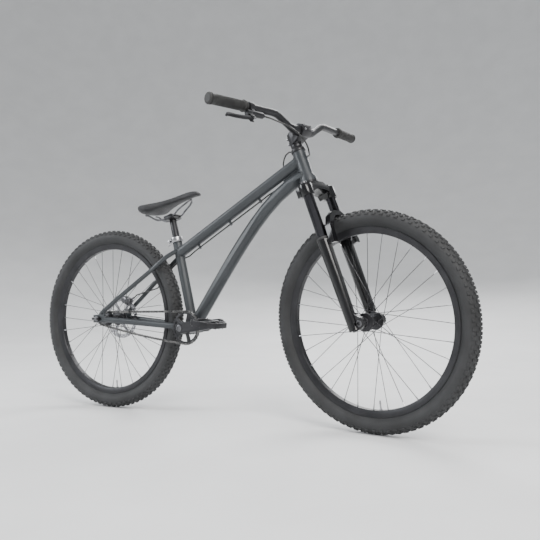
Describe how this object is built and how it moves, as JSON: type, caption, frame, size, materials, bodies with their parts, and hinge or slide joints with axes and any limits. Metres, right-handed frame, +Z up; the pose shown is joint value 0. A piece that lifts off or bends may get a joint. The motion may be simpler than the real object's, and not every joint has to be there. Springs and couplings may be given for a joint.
{
  "type": "dirt jump bike",
  "caption": "Dirt jump bicycle with a suspension fork, wide riser bar, low sloping frame, single-speed chain drive and rear disc brake.",
  "frame": {"origin": "on the ground, in the middle of the bike's length and in the frame's mid-plane", "axes": "+X forward, +Y to the rider's left, +Z up"},
  "size_m": [1.7288, 0.7832, 1.0248],
  "materials": {
    "frame_paint": "matte anthracite",
    "fork_gloss": "gloss black",
    "stanchion_black": "smooth black anodised",
    "satin_black": "satin black anodised",
    "dark_steel": "dark plated",
    "chain_steel": "dark oiled",
    "rotor_steel": "bright brushed",
    "silver": "satin silver",
    "tyre_rubber": "matte tread rubber",
    "grip_rubber": "matte",
    "hose_black": "satin",
    "saddle_cover": "fine-grained synthetic cover"
  },
  "bodies": {
    "frame": {"head_tube": "frame_paint", "top_tube": "frame_paint", "down_tube": "frame_paint", "seat_tube": "frame_paint", "bb_shell": "frame_paint", "chainstay_left": "frame_paint", "chainstay_right": "frame_paint", "seatstay_left": "frame_paint", "seatstay_right": "frame_paint", "dropout_left": "frame_paint", "dropout_right": "frame_paint", "chain_tug_left": "satin_black", "chain_tug_right": "satin_black", "headset_cup_lower": "satin_black", "headset_cup_upper": "satin_black", "bb_cup_left": "satin_black", "bb_cup_right": "satin_black", "seat_clamp": "silver", "rear_axle": "dark_steel", "rear_caliper": "dark_steel", "chain": "chain_steel", "brake_hose_frame": "hose_black", "brake_hose_loop": "hose_black"},
    "steering": {"fork_crown": "fork_gloss", "stanchion_left": "stanchion_black", "stanchion_right": "stanchion_black", "headset_spacer": "satin_black", "stem": "satin_black", "stem_faceplate": "satin_black", "top_cap": "satin_black", "handlebar": "satin_black", "grip_left": "grip_rubber", "grip_right": "grip_rubber", "lever_body": "satin_black", "brake_hose_bar": "hose_black"},
    "lower_fork": {"fork_lowers": "fork_gloss", "front_axle": "dark_steel", "wiper_left": "grip_rubber", "wiper_right": "grip_rubber"},
    "front_wheel": {"front_tyre": "tyre_rubber", "front_rim": "satin_black", "front_hub": "satin_black"},
    "rear_wheel": {"rear_tyre": "tyre_rubber", "rear_rim": "satin_black", "rear_hub": "satin_black", "rear_rotor": "rotor_steel"},
    "sprocket": {"rear_cog": "dark_steel"},
    "crank": {"crank_spindle": "dark_steel", "crank_arm_left": "satin_black", "crank_arm_right": "satin_black", "chainring": "satin_black", "pedal_axle_left": "dark_steel", "pedal_axle_right": "dark_steel"},
    "left_pedal": {"pedal_left": "satin_black"},
    "right_pedal": {"pedal_right": "satin_black"},
    "lever": {"brake_lever": "satin_black"},
    "seat": {"seatpost": "satin_black", "saddle_rails": "dark_steel", "saddle": "saddle_cover"},
    "clamp_lever": {"seat_clamp_lever": "silver"}
  },
  "joints": [
    {"name": "steering_turn", "type": "hinge", "parent": "frame", "child": "steering", "pos_m": [0.491, 0, 0.32469], "axis": [-0.3387, 0, 0.9409], "range_deg": [-61.8, 78.2], "deforming": ["brake_hose_loop"]},
    {"name": "fork_travel", "type": "slide", "parent": "steering", "child": "lower_fork", "axis": [-0.3387, 0, 0.9409], "range_m": [0, 0.1], "stiffness_N_per_m": 8000, "springref_m": -0.02},
    {"name": "front_wheel_spin", "type": "hinge", "parent": "lower_fork", "child": "front_wheel", "pos_m": [0.52825, -0.00571, 0.3381], "axis": [0.1342, 0.9898, 0.0483], "continuous": true},
    {"name": "rear_wheel_spin", "type": "hinge", "parent": "frame", "child": "rear_wheel", "pos_m": [-0.52637, 0, 0.33824], "axis": [0, 1, 0], "continuous": true},
    {"name": "crank_spin", "type": "hinge", "parent": "frame", "child": "crank", "pos_m": [-0.13512, 0, 0.31024], "axis": [0, 1, 0], "continuous": true, "deforming": ["chain"]},
    {"name": "sprocket_spin", "type": "hinge", "parent": "frame", "child": "sprocket", "pos_m": [-0.52637, 0, 0.33824], "axis": [0, 1, 0], "continuous": true},
    {"name": "left_pedal_spin", "type": "hinge", "parent": "crank", "child": "left_pedal", "pos_m": [-0.30187, 0.144, 0.28976], "axis": [0, 1, 0], "continuous": true},
    {"name": "right_pedal_spin", "type": "hinge", "parent": "crank", "child": "right_pedal", "pos_m": [0.03163, -0.144, 0.33071], "axis": [0, 1, 0], "continuous": true},
    {"name": "brake_lever_pull", "type": "hinge", "parent": "steering", "child": "lever", "pos_m": [0.27962, -0.26873, 0.93025], "axis": [0.7397, -0.2325, 0.6315], "range_deg": [-16, 0], "stiffness_Nm_per_rad": 1.5, "springref_deg": 14.32},
    {"name": "seat_height", "type": "slide", "parent": "frame", "child": "seat", "axis": [-0.2334, 0, 0.9724], "range_m": [-0.03, 0.1]},
    {"name": "clamp_lever_turn", "type": "hinge", "parent": "frame", "child": "clamp_lever", "pos_m": [-0.236, 0, 0.61717], "axis": [0, 1, 0], "range_deg": [0, 80]}
  ],
  "couplings": [
    {"joint": "sprocket_spin", "follows": "crank_spin", "ratio": 2.3333}
  ]
}
